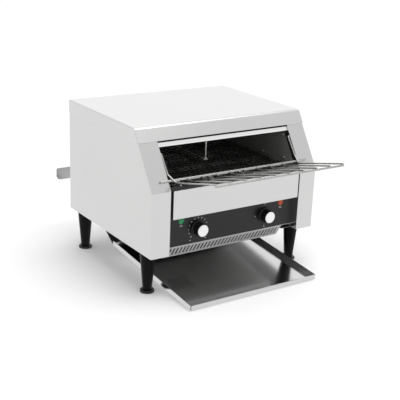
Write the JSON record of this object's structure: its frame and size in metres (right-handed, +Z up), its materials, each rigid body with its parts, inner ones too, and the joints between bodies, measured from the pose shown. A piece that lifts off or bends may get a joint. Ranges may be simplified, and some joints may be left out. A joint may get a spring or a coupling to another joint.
{
  "type": "conveyor toaster",
  "caption": "Wide countertop conveyor toaster with a wire loading rack, mesh belt between quartz heaters, return chute and pull-out toast tray on black legs",
  "frame": {"origin": "on the table under the middle of the whole outline, with the rack and the rear spacer", "axes": "+X to the right seen from the front, +Y to the back, +Z up; the bread goes in at -Y"},
  "size_m": [0.475, 0.6524, 0.387],
  "materials": {
    "case_steel": "fine brushed stainless steel sheet",
    "inner_steel": "stainless steel inner sheet, slightly dull",
    "reflector": "bright sheet, dulled by heat",
    "black_panel": "satin black paint",
    "wire": "bright plated wire",
    "belt_steel": "stainless wire dulled by heat",
    "shaft_steel": "ground steel",
    "bronze": "plain bearing bronze",
    "chain_steel": "oiled steel",
    "motor_grey": "grey paint",
    "quartz": "clear quartz tube",
    "ceramic": "unglazed white ceramic",
    "black_plastic": "moulded black plastic",
    "cap_metal": "bright turned aluminium",
    "green_lens": "clear green lens",
    "orange_lens": "clear orange lens",
    "switch_plastic": "pale moulded plastic",
    "leg_plastic": "moulded black plastic",
    "bolt_steel": "plated steel"
  },
  "bodies": {
    "casing": {"side_panel_left": "case_steel", "side_panel_right": "case_steel", "top_cover": "case_steel", "back_panel": "case_steel", "bottom_panel": "inner_steel", "front_plate": "case_steel", "control_panel": "black_panel", "vent_pan": "inner_steel", "upper_lip": "case_steel", "inner_wall_left": "inner_steel", "inner_wall_right": "inner_steel", "upper_reflector": "reflector", "lower_reflector": "reflector", "heat_shield": "inner_steel", "toast_chute": "inner_steel", "conveyor_belt": "belt_steel", "shaft_bushes": "bronze", "belt_rails": "inner_steel", "gear_motor": "motor_grey", "drive_chain": "chain_steel", "upper_heater_tubes": "quartz", "lower_heater_tubes": "quartz", "heater_end_caps": "ceramic", "heater_guard": "wire", "lane_divider": "wire", "fan_frame": "black_plastic", "speed_control": "switch_plastic", "selector_switch": "switch_plastic", "power_lamp_lens": "green_lens", "heating_lamp_lens": "orange_lens", "lamp_bodies": "switch_plastic", "terminal_block": "switch_plastic", "cable_gland": "black_plastic", "leg_bolts": "bolt_steel", "rear_spacer": "case_steel", "casing_screws": "bolt_steel", "leg_front_left": "leg_plastic", "leg_front_right": "leg_plastic", "leg_rear_left": "leg_plastic", "leg_rear_right": "leg_plastic"},
    "belt_drive": {"drive_shaft": "shaft_steel", "drive_sprockets": "shaft_steel", "driven_sprocket": "chain_steel"},
    "belt_idler": {"idler_shaft": "shaft_steel", "idler_sprockets": "shaft_steel"},
    "motor_output": {"motor_output_shaft": "shaft_steel", "motor_sprocket": "chain_steel"},
    "fan": {"fan_rotor": "black_plastic"},
    "speed_knob_body": {"speed_knob": "black_plastic", "speed_knob_cap": "cap_metal", "speed_control_stem": "shaft_steel"},
    "selector_knob_body": {"selector_knob": "black_plastic", "selector_knob_cap": "cap_metal", "selector_stem": "shaft_steel"},
    "rack": {"loading_rack": "wire"},
    "tray": {"toast_tray": "case_steel"},
    "foot_front_left": {"levelling_foot_front_left": "leg_plastic"},
    "foot_front_right": {"levelling_foot_front_right": "leg_plastic"},
    "foot_rear_left": {"levelling_foot_rear_left": "leg_plastic"},
    "foot_rear_right": {"levelling_foot_rear_right": "leg_plastic"}
  },
  "joints": [
    {"name": "belt_drive_turn", "type": "hinge", "parent": "casing", "child": "belt_drive", "pos_m": [0, 0.16325, 0.24], "axis": [-1, 0, 0], "continuous": true, "deforming": ["drive_chain"]},
    {"name": "belt_idler_turn", "type": "hinge", "parent": "casing", "child": "belt_idler", "pos_m": [0, -0.11675, 0.24], "axis": [-1, 0, 0], "continuous": true},
    {"name": "motor_output_turn", "type": "hinge", "parent": "casing", "child": "motor_output", "pos_m": [0, 0.02463, 0.15041], "axis": [-1, 0, 0], "continuous": true},
    {"name": "fan_spin", "type": "hinge", "parent": "casing", "child": "fan", "pos_m": [-0.07, -0.04875, 0.094], "axis": [0, 0, 1], "continuous": true},
    {"name": "speed_knob_turn", "type": "hinge", "parent": "casing", "child": "speed_knob_body", "pos_m": [-0.098, -0.14875, 0.1485], "axis": [0, 1, 0], "range_deg": [0, 280]},
    {"name": "selector_knob_turn", "type": "hinge", "parent": "casing", "child": "selector_knob_body", "pos_m": [0.098, -0.14875, 0.1485], "axis": [0, 1, 0], "range_deg": [-180, 0]},
    {"name": "loading_rack_lift", "type": "hinge", "parent": "casing", "child": "rack", "pos_m": [0, -0.11558, 0.33], "axis": [-1, 0, 0], "range_deg": [0, 140]},
    {"name": "toast_tray_slide", "type": "slide", "parent": "casing", "child": "tray", "axis": [0, -1, 0], "range_m": [0, 0.28]},
    {"name": "levelling_foot_front_left_turn", "type": "hinge", "parent": "casing", "child": "foot_front_left", "pos_m": [-0.2123, -0.11535, 0.02], "axis": [0, 0, 1], "range_deg": [0, 1440]},
    {"name": "levelling_foot_front_right_turn", "type": "hinge", "parent": "casing", "child": "foot_front_right", "pos_m": [0.2123, -0.11535, 0.02], "axis": [0, 0, 1], "range_deg": [0, 1440]},
    {"name": "levelling_foot_rear_left_turn", "type": "hinge", "parent": "casing", "child": "foot_rear_left", "pos_m": [-0.2123, 0.20365, 0.02], "axis": [0, 0, 1], "range_deg": [0, 1440]},
    {"name": "levelling_foot_rear_right_turn", "type": "hinge", "parent": "casing", "child": "foot_rear_right", "pos_m": [0.2123, 0.20365, 0.02], "axis": [0, 0, 1], "range_deg": [0, 1440]}
  ],
  "couplings": [
    {"joint": "belt_idler_turn", "follows": "belt_drive_turn", "ratio": 1},
    {"joint": "motor_output_turn", "follows": "belt_drive_turn", "ratio": 1.3333}
  ]
}
